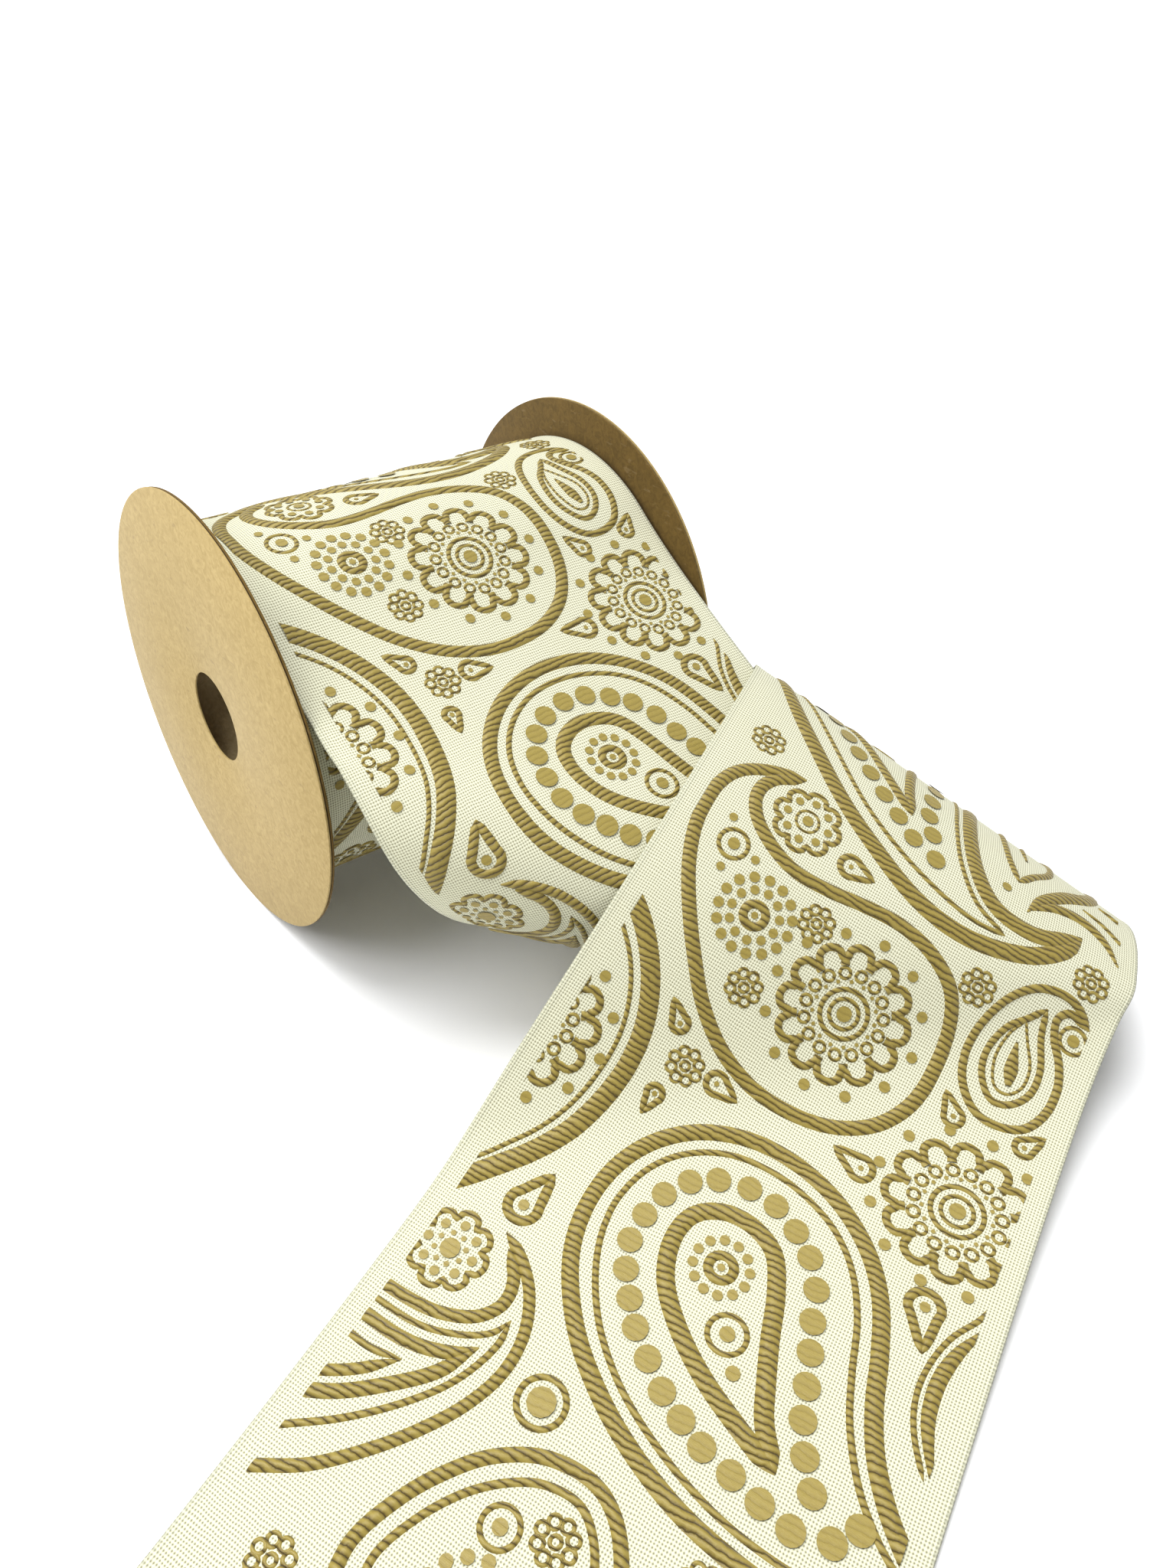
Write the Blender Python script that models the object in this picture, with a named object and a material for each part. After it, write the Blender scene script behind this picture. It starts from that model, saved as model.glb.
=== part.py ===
"""Ribbon spool: a kraft card spool lying on its two flanges, with a wide woven ribbon pulled off it.

Sizes are in metres. In the spool's own frame the axis is X, from the near flange's outer face at
X = 0, and the ribbon comes over the top towards -Y. The assembly stands on Z = 0.
"""

import math

import bmesh
import bpy
import numpy as np
from mathutils import Matrix, Vector

# Spool
FLANGE_DIAMETER = 0.103
HOLE_DIAMETER = 0.021
CARD_THICKNESS = 0.00045
GLUE_LINE = 0.0003
CORE_DIAMETER = 0.038
CORE_WALL = 0.002
FIT = 0.0003

# Ribbon
RIBBON_WIDTH = 0.100
RIBBON_THICKNESS = 0.0008
SIDE_CLEARANCE = 0.0011
ROLL_DIAMETER = 0.0855
UNDERLAP_ANGLE = math.radians(20)
TAIL_ON_TABLE = 0.010

# Tape that holds the ribbon's inner end on the core
TAPE_THICKNESS = 0.0002
TAPE_WIDTH = 0.018
TAPE_INSET = 0.010

# The free ribbon leaves the roll this far past the top, towards -Y.
LEAVING_ANGLE = 0.667

# How the free ribbon bends: distance past the leaving line, curvature, and slant of the fold
# lines across the ribbon, as a tangent. Lengths are in flange radii.
BENDS = (
    (0.0, -0.41, 0.0),
    (0.5, -0.12, -0.01),
    (1.0, -0.31, 0.44),
    (1.5, 1.40, 0.88),
    (2.0, 3.06, 0.92),
    (2.6, 1.29, 0.40),
    (3.2, 0.98, 0.50),
    (3.8, 3.69, -0.02),
    (4.4, 0.82, 0.18),
    (5.0, 1.09, -0.34),
    (5.6, -1.38, -0.86),
    (6.3, -0.14, -0.55),
    (7.2, -0.08, -0.84),
    (8.4, 0.0, 0.0),
)
# Between these distances, in flange radii, the ribbon settles flat on the table.
SETTLING = (6.9, 8.4)

DISC_SEGMENTS = 96
CORE_SEGMENTS = 64
TURN_STEP = math.radians(5)
BEND_STEP = 0.06

FLANGE_RADIUS = FLANGE_DIAMETER / 2
FLANGE_THICKNESS = 2 * CARD_THICKNESS + GLUE_LINE
SPOOL_LENGTH = RIBBON_WIDTH + 2 * (SIDE_CLEARANCE + FLANGE_THICKNESS)
RIBBON_EDGE = FLANGE_THICKNESS + SIDE_CLEARANCE
TAPE_LENGTH = RIBBON_WIDTH - 2 * TAPE_INSET
TURN_DROP = RIBBON_THICKNESS + 2 * FIT
WRAP_ANGLE = 2 * math.pi + UNDERLAP_ANGLE
ROLL_RADIUS = ROLL_DIAMETER / 2


def clear_scene():
    for obj in list(bpy.data.objects):
        bpy.data.objects.remove(obj, do_unlink=True)


def material(name, colour, roughness):
    made = bpy.data.materials.new(name)
    made.use_nodes = True
    shader = made.node_tree.nodes["Principled BSDF"]
    shader.inputs["Base Color"].default_value = (*colour, 1.0)
    shader.inputs["Roughness"].default_value = roughness
    shader.inputs["Metallic"].default_value = 0.0
    made.diffuse_color = (*colour, 1.0)
    return made


def add_object(name, bm, finish, frame):
    """A shaded object with its origin on the spool's axis."""
    bmesh.ops.recalc_face_normals(bm, faces=bm.faces)
    mesh = bpy.data.meshes.new(name)
    bm.to_mesh(mesh)
    bm.free()
    mesh.materials.append(finish)
    mesh.shade_smooth()
    mesh.set_sharp_from_angle(angle=math.radians(35))
    obj = bpy.data.objects.new(name, mesh)
    bpy.context.collection.objects.link(obj)
    obj.parent = frame
    return obj


def add_ring(name, span, outer_radius, inner_radius, segments, finish, frame):
    """A turned ring about the spool's axis, between two places along it."""
    bm = bmesh.new()
    corners = [
        bm.verts.new((x, 0.0, radius))
        for x, radius in (
            (span[0], inner_radius),
            (span[0], outer_radius),
            (span[1], outer_radius),
            (span[1], inner_radius),
        )
    ]
    sides = [bm.edges.new((corners[i], corners[(i + 1) % 4])) for i in range(4)]
    bmesh.ops.spin(
        bm,
        geom=corners + sides,
        cent=(0.0, 0.0, 0.0),
        axis=(1.0, 0.0, 0.0),
        angle=2 * math.pi,
        steps=segments,
        use_merge=True,
    )
    return add_object(name, bm, finish, frame)


def add_swept(name, sections, finish, frame):
    """A closed solid through four-cornered sections, capped at both ends."""
    bm = bmesh.new()
    rows = [[bm.verts.new(point) for point in section] for section in sections]
    for row, following in zip(rows, rows[1:]):
        for i in range(4):
            j = (i + 1) % 4
            bm.faces.new((row[i], row[j], following[j], following[i]))
    bm.faces.new(rows[0])
    bm.faces.new(list(reversed(rows[-1])))
    return add_object(name, bm, finish, frame)


def add_flange(side, finishes, frame):
    """A flange of two plies: the face ply has the small hole, the backing ply fits over the core."""
    face = (0.0, CARD_THICKNESS)
    backing = (CARD_THICKNESS + GLUE_LINE, FLANGE_THICKNESS)
    if side == "far":
        face = tuple(SPOOL_LENGTH - x for x in reversed(face))
        backing = tuple(SPOOL_LENGTH - x for x in reversed(backing))
    hole = HOLE_DIAMETER / 2
    seat = CORE_DIAMETER / 2 + FIT
    add_ring(f"{side}_flange_face", face, FLANGE_RADIUS, hole, DISC_SEGMENTS, finishes["face"], frame)
    add_ring(
        f"{side}_flange_backing", backing, FLANGE_RADIUS, seat, DISC_SEGMENTS, finishes["backing"], frame
    )


def add_core(finish, frame):
    """The tube reaches through both backing plies and butts on the face plies."""
    end = CARD_THICKNESS + FIT
    outer = CORE_DIAMETER / 2
    add_ring("core_tube", (end, SPOOL_LENGTH - end), outer, outer - CORE_WALL, CORE_SEGMENTS, finish, frame)


def add_start_tape(finish, frame):
    """A short strip of tape on the core, under the first turn."""
    inner = CORE_DIAMETER / 2 + FIT
    outer = inner + TAPE_THICKNESS
    spread = TAPE_WIDTH / outer
    left = (SPOOL_LENGTH - TAPE_LENGTH) / 2
    sections = []
    for i in range(9):
        angle = spread * (i / 8 - 0.5)
        out = Vector((0.0, math.sin(angle), math.cos(angle)))
        ends = (Vector((left, 0.0, 0.0)), Vector((left + TAPE_LENGTH, 0.0, 0.0)))
        sections.append(
            (ends[0] + inner * out, ends[0] + outer * out, ends[1] + outer * out, ends[1] + inner * out)
        )
    add_swept("start_tape", sections, finish, frame)


def add_wound_ribbon(finish, frame):
    """All the turns under the outermost one, as one roll."""
    inner = CORE_DIAMETER / 2 + TAPE_THICKNESS + 2 * FIT
    innermost_drop = TURN_DROP * WRAP_ANGLE / (2 * math.pi)
    outer = ROLL_RADIUS - innermost_drop - RIBBON_THICKNESS - FIT
    span = (RIBBON_EDGE, RIBBON_EDGE + RIBBON_WIDTH)
    add_ring("wound_ribbon", span, outer, inner, DISC_SEGMENTS, finish, frame)


def turn_rulings():
    """The outermost turn, from its underlap to the leaving line: left end, right end and face normal."""
    steps = math.ceil(WRAP_ANGLE / TURN_STEP)
    rulings = []
    for i in range(steps):
        back = WRAP_ANGLE * (1 - i / steps)
        angle = LEAVING_ANGLE - back
        radius = ROLL_RADIUS - TURN_DROP * back / (2 * math.pi)
        out = Vector((0.0, -math.sin(angle), math.cos(angle)))
        left = Vector((RIBBON_EDGE, 0.0, 0.0)) + radius * out
        rulings.append((left, left + Vector((RIBBON_WIDTH, 0.0, 0.0)), out))
    return rulings


def settled(point, distance):
    """The face point, lowered or lifted to lie on the table where the ribbon has settled."""
    flat = RIBBON_THICKNESS - FLANGE_RADIUS
    share = (distance - SETTLING[0]) / (SETTLING[1] - SETTLING[0])
    share = min(max(share, 0.0), 1.0)
    share = share * share * (3 - 2 * share)
    height = max(point.z, flat)
    return Vector((point.x, point.y, height + (flat - height) * share))


def free_rulings():
    """The free ribbon, folded step by step about its fold lines, so that it never stretches."""
    places, curvatures, slants = (np.array(column) for column in zip(*BENDS))
    length = SETTLING[1] + TAIL_ON_TABLE / FLANGE_RADIUS
    steps = math.ceil(length / BEND_STEP)
    step = length / steps
    out = Vector((0.0, -math.sin(LEAVING_ANGLE), math.cos(LEAVING_ANGLE)))
    centre = Vector((RIBBON_EDGE + RIBBON_WIDTH / 2, 0.0, 0.0)) + ROLL_RADIUS * out
    across = Vector((1.0, 0.0, 0.0))
    along = across.cross(out)
    rulings = []
    for i in range(steps + 1):
        distance = i * step
        slant = float(np.interp(distance, places, slants))
        curvature = float(np.interp(distance, places, curvatures))
        half = (across + slant * along) * (RIBBON_WIDTH / 2)
        normal = along.cross(across)
        rulings.append((settled(centre - half, distance), settled(centre + half, distance), normal))
        fold = Matrix.Rotation(curvature * step, 3, half.normalized())
        turned = fold @ along
        centre = centre + (along + turned) * (step * FLANGE_RADIUS / 2)
        along = turned
        across = fold @ across
    return rulings


def add_loose_ribbon(finish, frame):
    """The outermost turn and the length pulled off the roll, as one strip."""
    rulings = turn_rulings() + free_rulings()
    sections = []
    for left, right, normal in rulings:
        down = normal * -RIBBON_THICKNESS
        sections.append((left, right, right + down, left + down))
    add_swept("loose_ribbon", sections, finish, frame)
    return sections


def place_on_table(frame, sections):
    """Puts the middle of the whole assembly's box over the origin, with the flanges on Z = 0."""
    points = [point for section in sections for point in section]
    lows = (min(0.0, min(p.x for p in points)), min(-FLANGE_RADIUS, min(p.y for p in points)))
    highs = (
        max(SPOOL_LENGTH, max(p.x for p in points)),
        max(FLANGE_RADIUS, max(p.y for p in points)),
    )
    frame.location = (-(lows[0] + highs[0]) / 2, -(lows[1] + highs[1]) / 2, FLANGE_RADIUS)


def main():
    clear_scene()
    frame = bpy.data.objects.new("spool_axis", None)
    bpy.context.collection.objects.link(frame)
    card = {
        "face": material("kraft_face", (0.62, 0.47, 0.28), 0.75),
        "backing": material("kraft_backing", (0.45, 0.32, 0.19), 0.85),
    }
    tube = material("core_board", (0.50, 0.37, 0.23), 0.9)
    tape = material("tape", (0.85, 0.82, 0.70), 0.5)
    cloth = material("woven_ribbon", (0.83, 0.80, 0.66), 0.7)
    for side in ("near", "far"):
        add_flange(side, card, frame)
    add_core(tube, frame)
    add_start_tape(tape, frame)
    add_wound_ribbon(cloth, frame)
    place_on_table(frame, add_loose_ribbon(cloth, frame))


main()
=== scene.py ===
import math

import bmesh
import bpy
import numpy as np
from mathutils import Matrix, Vector


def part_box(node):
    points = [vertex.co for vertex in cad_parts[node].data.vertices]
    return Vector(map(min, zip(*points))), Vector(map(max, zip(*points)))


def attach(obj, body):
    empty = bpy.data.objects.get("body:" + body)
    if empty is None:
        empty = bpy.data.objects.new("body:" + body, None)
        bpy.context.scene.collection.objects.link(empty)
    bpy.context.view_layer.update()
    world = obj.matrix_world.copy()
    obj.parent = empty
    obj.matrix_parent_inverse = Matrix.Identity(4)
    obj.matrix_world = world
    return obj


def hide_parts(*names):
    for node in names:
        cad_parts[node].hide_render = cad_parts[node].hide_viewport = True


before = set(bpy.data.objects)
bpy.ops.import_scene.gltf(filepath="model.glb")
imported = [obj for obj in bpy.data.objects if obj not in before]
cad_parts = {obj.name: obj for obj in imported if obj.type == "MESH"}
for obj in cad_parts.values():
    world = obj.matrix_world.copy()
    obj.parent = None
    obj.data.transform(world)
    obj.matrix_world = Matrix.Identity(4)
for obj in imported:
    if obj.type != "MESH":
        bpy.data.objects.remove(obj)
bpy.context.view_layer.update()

# where the spool's axis is, read off the flanges
nearLow, nearHigh = (Vector(corner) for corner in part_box("near_flange_face"))
farLow, farHigh = (Vector(corner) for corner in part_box("far_flange_face"))
axisStart = Vector((nearLow.x, (nearLow.y + nearHigh.y) / 2, (nearLow.z + nearHigh.z) / 2))
flangeRadius = (nearHigh.y - nearLow.y) / 2
spoolLength = farHigh.x - nearLow.x
print("frame loaded")


# materials are written as sums on sockets
class Wire:
    # an output socket that can be used in sums; each sum adds a Math node
    def __init__(self, finish, socket):
        self.finish = finish
        self.socket = socket

    def sum(self, operation, first, second):
        return self.finish.node("ShaderNodeMath", {"operation": operation}, {0: first, 1: second})

    def __add__(self, other):
        return self.sum("ADD", self, other)

    def __radd__(self, other):
        return self.sum("ADD", other, self)

    def __sub__(self, other):
        return self.sum("SUBTRACT", self, other)

    def __rsub__(self, other):
        return self.sum("SUBTRACT", other, self)

    def __mul__(self, other):
        return self.sum("MULTIPLY", self, other)

    def __rmul__(self, other):
        return self.sum("MULTIPLY", other, self)

    def __truediv__(self, other):
        return self.sum("DIVIDE", self, other)

    def __pow__(self, other):
        return self.sum("POWER", self, other)


class Finish:
    # a material under construction
    def __init__(self, name, roughness=0.8, sheen=0.0, specular=0.5):
        self.material = bpy.data.materials.new(name)
        self.material.use_nodes = True
        self.tree = self.material.node_tree
        self.shader = self.tree.nodes["Principled BSDF"]
        self.shader.inputs["Roughness"].default_value = roughness
        self.shader.inputs["Sheen Weight"].default_value = sheen
        self.shader.inputs["Specular IOR Level"].default_value = specular

    def node(self, kind, settings=None, values=None, output=0):
        made = self.tree.nodes.new(kind)
        for name, value in (settings or {}).items():
            if name == "stops":
                ramp = made.color_ramp
                while len(ramp.elements) < len(value):
                    ramp.elements.new(0.5)
                for element, (place, colour) in zip(ramp.elements, value):
                    element.position = place
                    element.color = (*colour, 1.0) if len(colour) == 3 else colour
            else:
                setattr(made, name, value)
        for name, value in (values or {}).items():
            if isinstance(value, Wire):
                self.tree.links.new(value.socket, made.inputs[name])
            else:
                made.inputs[name].default_value = value
        return Wire(self, made.outputs[output])

    def place(self, scale=(1, 1, 1), turn=(0, 0, 0), use="Object"):
        spot = self.node("ShaderNodeTexCoord", output=use)
        values = {"Vector": spot, "Scale": scale, "Rotation": turn}
        return self.node("ShaderNodeMapping", {}, values)

    def clouds(self, where, scale, detail=3.0, roughness=0.5, distortion=0.0):
        values = {"Vector": where, "Scale": scale, "Detail": detail}
        values |= {"Roughness": roughness, "Distortion": distortion}
        return self.node("ShaderNodeTexNoise", {"noise_dimensions": "3D"}, values, "Fac")

    def ramp(self, share, stops):
        return self.node("ShaderNodeValToRGB", {"stops": stops}, {"Fac": share}, "Color")

    def mix(self, share, first, second, blending="MIX"):
        def solid(colour):
            return colour if isinstance(colour, Wire) else (*colour, 1.0)
        settings = {"data_type": "RGBA", "blend_type": blending}
        return self.node("ShaderNodeMix", settings, {0: share, 6: solid(first), 7: solid(second)}, 2)

    def wave(self, phase):
        return self.node("ShaderNodeMath", {"operation": "SINE"}, {0: phase * (2 * math.pi)})

    def bump(self, height, distance, strength=1.0):
        return self.node("ShaderNodeBump", {}, {"Height": height, "Distance": distance, "Strength": strength})

    def paint(self, **sockets):
        for name, value in sockets.items():
            self.tree.links.new(value.socket, self.shader.inputs[name.replace("_", " ")])
        return self.material


# the ribbon leaves the roll, folds under, and comes back over itself; lengths are in metres
ribbon = {
    "width": 0.100,
    "thickness": 0.00045,
    "groundDrop": 0.0003,      # the woven ground lies this far under the tops of the figures
    "edge": 0.0023,            # from the near flange's outer face to the left selvedge
    "rollRadius": 0.04275,
    "turnDrop": 0.0014,        # how much lower the turn before lies
    "wrapAngle": math.radians(380),
    "leavingAngle": 0.667,
    "tailOnTable": 0.010,
    "fullThickness": 0.0008,   # ground and figures together
    # distance, curvature and slant of the fold lines, in flange radii
    "bends": (
        (0.0, -0.41, 0.0), (0.5, -0.12, -0.01), (1.0, -0.31, 0.44), (1.5, 1.40, 0.88), (2.0, 3.06, 0.92),
        (2.6, 1.29, 0.40), (3.2, 0.98, 0.50), (3.8, 3.69, -0.02), (4.4, 0.82, 0.18), (5.0, 1.09, -0.34),
        (5.6, -1.38, -0.86), (6.3, -0.14, -0.55), (7.2, -0.08, -0.84), (8.4, 0.0, 0.0),
    ),
    "settling": (6.9, 8.4),
    "bendStep": 0.06,
    "rulingRounds": 90,        # rounds that find the fold line under a flat place
    "fineSteps": 6,
    "cellAlong": 0.0016,
    "cellsAcross": 48,
}
ribbon["leavingU"] = ribbon["leavingAngle"] * ribbon["rollRadius"]
ribbon["startU"] = ribbon["leavingU"] - ribbon["wrapAngle"] * ribbon["rollRadius"]
ribbon["freeLength"] = ribbon["settling"][1] * flangeRadius + ribbon["tailOnTable"]
ribbon["endU"] = ribbon["leavingU"] + ribbon["freeLength"]


def foldPath():
    # the ribbon's middle line and its two directions, stepped along the free length
    places, curvatures, slants = (np.array(column) for column in zip(*ribbon["bends"]))
    length = ribbon["freeLength"] / flangeRadius
    steps = math.ceil(length / ribbon["bendStep"])
    step = length / steps
    turn = ribbon["leavingAngle"]
    out = Vector((0, -math.sin(turn), math.cos(turn)))
    centre = axisStart + Vector((ribbon["edge"] + ribbon["width"] / 2, 0, 0)) + ribbon["rollRadius"] * out
    across = Vector((1, 0, 0))
    along = across.cross(out)
    rows = []
    fine = ribbon["fineSteps"]
    for i in range(steps + 1):
        slant, nextSlant = np.interp((i * step, (i + 1) * step), places, slants)
        curvature = float(np.interp(i * step, places, curvatures))
        fold = Matrix.Rotation(curvature * step / fine, 3, (across + float(slant) * along).normalized())
        for k in range(fine):
            share = k / fine
            distance = (i + share) * step * flangeRadius
            rows.append((distance, slant + (nextSlant - slant) * share, *centre, *along, *across))
            turned = fold @ along
            centre = centre + (along + turned) * (step / fine * flangeRadius / 2)
            along = turned
            across = fold @ across
    return np.array(rows).T


path = foldPath()


def onRibbon(u, v, lift):
    # from flat places on the ribbon (u along it from the roll's top, v from its left selvedge) to space
    s = u - ribbon["leavingU"]
    side = v - ribbon["width"] / 2
    ruling = s.copy()
    for _ in range(ribbon["rulingRounds"]):
        ruling = s - side * np.interp(ruling, path[0], path[1])
    free = s > 0
    here = np.array([np.interp(ruling, path[0], row) for row in path[2:]])
    centre, along, across = here[:3], here[3:6], here[6:]
    slant = np.interp(ruling, path[0], path[1])
    face = centre + side * (across + slant * along)
    normal = np.cross(along.T, across.T).T
    normal /= np.linalg.norm(normal, axis=0)
    # it comes to rest on the table
    flat = ribbon["fullThickness"]
    share = (ruling / flangeRadius - ribbon["settling"][0]) / (ribbon["settling"][1] - ribbon["settling"][0])
    share = np.clip(share, 0, 1)
    share = share * share * (3 - 2 * share)
    height = np.maximum(face[2], flat)
    face[2] = height + (flat - height) * share
    # the turn still on the roll
    turn = ribbon["leavingAngle"] + s / ribbon["rollRadius"]
    radius = ribbon["rollRadius"] + ribbon["turnDrop"] * s / ribbon["rollRadius"] / (2 * math.pi)
    out = np.array([np.zeros_like(turn), -np.sin(turn), np.cos(turn)])
    wound = radius * out + np.array(axisStart)[:, None]
    wound[0] += ribbon["edge"] + v
    face = np.where(free, face, wound)
    normal = np.where(free, normal, out)
    return (face + normal * (lift - ribbon["groundDrop"])).T


def layOnRibbon(mesh):
    # a mesh drawn flat, in millimetres (x across, y along, z up), is laid on the ribbon with its UV map
    flat = np.empty(len(mesh.vertices) * 3)
    mesh.vertices.foreach_get("co", flat)
    flat = flat.reshape(-1, 3)
    corners = np.empty(len(mesh.loops), dtype=np.int32)
    mesh.loops.foreach_get("vertex_index", corners)
    flatMap = mesh.uv_layers.new(name="weave")
    flatMap.data.foreach_set("uv", (flat[corners, :2] * 0.01).ravel())
    placed = onRibbon(flat[:, 1] * 0.001, flat[:, 0] * 0.001, flat[:, 2] * 0.001)
    mesh.vertices.foreach_set("co", placed.ravel())
    mesh.flip_normals()  # laying it down mirrors it
    mesh.update()


def addPiece(name, mesh, finish, body):
    piece = bpy.data.objects.new(name, mesh)
    bpy.context.collection.objects.link(piece)
    mesh.materials.append(finish)
    mesh.shade_smooth()
    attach(piece, body)
    return piece


def toMesh(bm, name):
    mesh = bpy.data.meshes.new(name)
    bm.to_mesh(mesh)
    bm.free()
    return mesh


def flatMillimetres(cloth):
    # the ribbon's own map: v across and u along, in millimetres
    spot = cloth.node("ShaderNodeTexCoord", output="UV")
    split = cloth.node("ShaderNodeSeparateXYZ", {}, {0: spot}).socket.node
    return spot, Wire(cloth, split.outputs[0]) * 100, Wire(cloth, split.outputs[1]) * 100


weave = {
    # lengths are in millimetres
    "threadAcross": 1.1,
    "threadAlong": 1.25,
    "threadDrift": 0.6,
    "tones": (
        (0.0, (0.22, 0.21, 0.13)), (0.3, (0.50, 0.49, 0.35)), (0.58, (0.715, 0.715, 0.55)),
        (1.0, (0.78, 0.78, 0.61)),
    ),
    "patchTone": (0.90, 0.87, 0.68),
    "selvedgeReach": 3.0,
    "selvedge": ((0.0, 1.0), (0.16, 0.8), (0.24, 0.0), (0.3, 0.0), (0.36, 0.7), (0.46, 0.0)),
    "selvedgeTone": (0.34, 0.35, 0.26),
    "stitch": 1.05,
    "relief": 0.00010,         # in metres
}


def woven():
    # cream plain weave, its pits between the threads darkened with painted shade
    cloth = Finish("creamWeave", roughness=0.85, sheen=0.15, specular=0.2)
    spot, v, u = flatMillimetres(cloth)
    drift = cloth.clouds(spot, 30.0, 2.0) * weave["threadDrift"]
    acrossCount, alongCount = v / weave["threadAcross"], u / weave["threadAlong"]
    threads = cloth.wave(acrossCount + alongCount + drift) * cloth.wave(acrossCount - alongCount - drift)
    pits = threads * 0.5 + 0.5
    streaks = cloth.clouds(cloth.place(scale=(170, 10, 1), use="UV"), 1.0, 2.0)
    # painted shade: the tones darken into the pits between the threads
    tone = cloth.ramp(pits, weave["tones"])
    patches = cloth.clouds(spot, 6.0, 3.0)
    tone = cloth.mix(patches * 0.2, tone, weave["patchTone"], "MULTIPLY")
    # the tight grey-green lip of each selvedge, with a line of binding stitches beside it
    fromEdge = cloth.node("ShaderNodeMath", {"operation": "PINGPONG"}, {0: v, 1: ribbon["width"] * 500})
    lip = cloth.ramp(fromEdge / weave["selvedgeReach"], [(at, (share,) * 3) for at, share in weave["selvedge"]])
    stitch = cloth.node("ShaderNodeRGBToBW", {}, {0: lip}) * (cloth.wave(u / weave["stitch"]) * 0.35 + 0.5)
    tone = cloth.mix(stitch * 0.8, tone, weave["selvedgeTone"])
    height = pits + streaks * 0.35 - stitch * 0.6
    return cloth.paint(Base_Color=tone, Normal=cloth.bump(height, weave["relief"], 0.8))


bundles = {
    "spacing": 1.25,           # in millimetres
    "lean": 0.04,
    "tones": ((0.4, (0.15, 0.108, 0.020)), (0.75, (0.275, 0.212, 0.046)), (1.0, (0.36, 0.285, 0.066))),
    "fibreTone": (0.70, 0.62, 0.36),
    "patchTone": (0.80, 0.74, 0.55),
    "relief": 0.00028,         # in metres
}


def satin(name, depth, dark):
    # gold floats laid in bundles across the ribbon, the grooves between them narrow and darkened with painted
    # shade, each bundle's crest painted lighter
    gold = Finish(name, roughness=0.45, sheen=0.1, specular=0.4)
    spot, v, u = flatMillimetres(gold)
    wander = gold.clouds(spot, 14.0, 2.0) * 1.6 + gold.clouds(spot, 80.0, 2.0) * 0.4
    count = (v * bundles["lean"] + u) / bundles["spacing"] + wander
    part = gold.node("ShaderNodeMath", {"operation": "FRACT"}, {0: count})
    bundle = gold.node("ShaderNodeMath", {"operation": "SINE"}, {0: part ** 0.8 * math.pi}) ** 0.7
    fibres = gold.clouds(gold.place(scale=(110, 900, 1), turn=(0, 0, bundles["lean"]), use="UV"), 1.0, 2.0)
    depths = gold.clouds(spot, 45.0, 2.0)
    # painted shade and highlight: the tone runs from the dark colour in each groove up to the bundle's crest
    shade = bundle * depth + (1 - depth)
    tone = gold.ramp(shade, ((0.0, dark), *bundles["tones"]))
    tone = gold.mix(fibres * 0.55, tone, bundles["fibreTone"], "MULTIPLY")
    tone = gold.mix(depths * 0.25, tone, bundles["patchTone"], "MULTIPLY")
    return gold.paint(Base_Color=tone, Normal=gold.bump(bundle * depth + fibres * 0.25, bundles["relief"], 0.9))


def kraft(name, light, dark):
    # matt brown card, mottled with fibres and flecks
    card = Finish(name, roughness=0.88, sheen=0.1, specular=0.25)
    fibres = card.clouds(card.place(), 520.0, 4.0, 0.6, 1.5)
    clouds = card.clouds(card.place(), 45.0, 3.0)
    flecks = card.clouds(card.place(scale=(700, 260, 700)), 1.0, 2.0)
    fleck = card.ramp(flecks, ((0.66, (0, 0, 0)), (0.74, (1, 1, 1))))
    mottle = card.ramp(fibres, ((0.36, (0, 0, 0)), (0.64, (1, 1, 1))))
    tone = card.mix(mottle, dark, light)
    tone = card.mix(clouds * 0.5, tone, dark)
    tone = card.mix(card.node("ShaderNodeRGBToBW", {}, {0: fleck}) * 0.45, tone, (0.24, 0.165, 0.07))
    return card.paint(Base_Color=tone, Normal=card.bump(fibres + flecks * 0.5, 0.00005, 0.7))


finishes = {
    "cloth": woven(),
    # the last colour given to each satin is the painted shade at the bottom of its grooves
    "gold": satin("goldSatin", 1.0, (0.045, 0.030, 0.006)),
    "knots": satin("goldKnots", 0.22, (0.09, 0.065, 0.014)),
    "face": kraft("kraftFace", (0.465, 0.345, 0.142), (0.355, 0.255, 0.092)),
    "backing": kraft("kraftBacking", (0.165, 0.098, 0.019), (0.105, 0.062, 0.010)),
    "board": kraft("coreBoard", (0.44, 0.34, 0.19), (0.32, 0.24, 0.12)),
    "tape": kraft("paperTape", (0.80, 0.76, 0.62), (0.70, 0.65, 0.50)),
}
print("finishes made")


# each flange is two card plies, glued face to face; lengths are in metres
flange = {
    "ply": 0.00045,
    "glueLine": 0.0003,
    "hole": 0.0105,
    "seat": 0.0193,
    "steps": 192,
    "edgeRound": 0.00012,
    "backingInset": 0.0001,    # the backing ply is this much smaller in radius
    "sharpFrom": math.radians(30),
}


def turned(outline, steps, rounding=0):
    # a closed outline of (x, radius) turned round the spool's axis
    bm = bmesh.new()
    points = [bm.verts.new((x, 0, radius)) for x, radius in outline]
    section = [bm.edges.new((points[i - 1], points[i])) for i in range(len(points))]
    bmesh.ops.spin(
        bm, geom=points + section, cent=(0, 0, 0), axis=(1, 0, 0), angle=2 * math.pi, steps=steps, use_merge=True,
    )
    bmesh.ops.recalc_face_normals(bm, faces=bm.faces)
    if rounding:
        rims = [e for e in bm.edges if len(e.link_faces) == 2 and e.calc_face_angle(0) > 1.0]
        bmesh.ops.bevel(bm, geom=rims, offset=rounding, affect="EDGES", segments=2, profile=0.5, material=-1)
    bmesh.ops.translate(bm, vec=axisStart, verts=bm.verts)
    return bm


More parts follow.
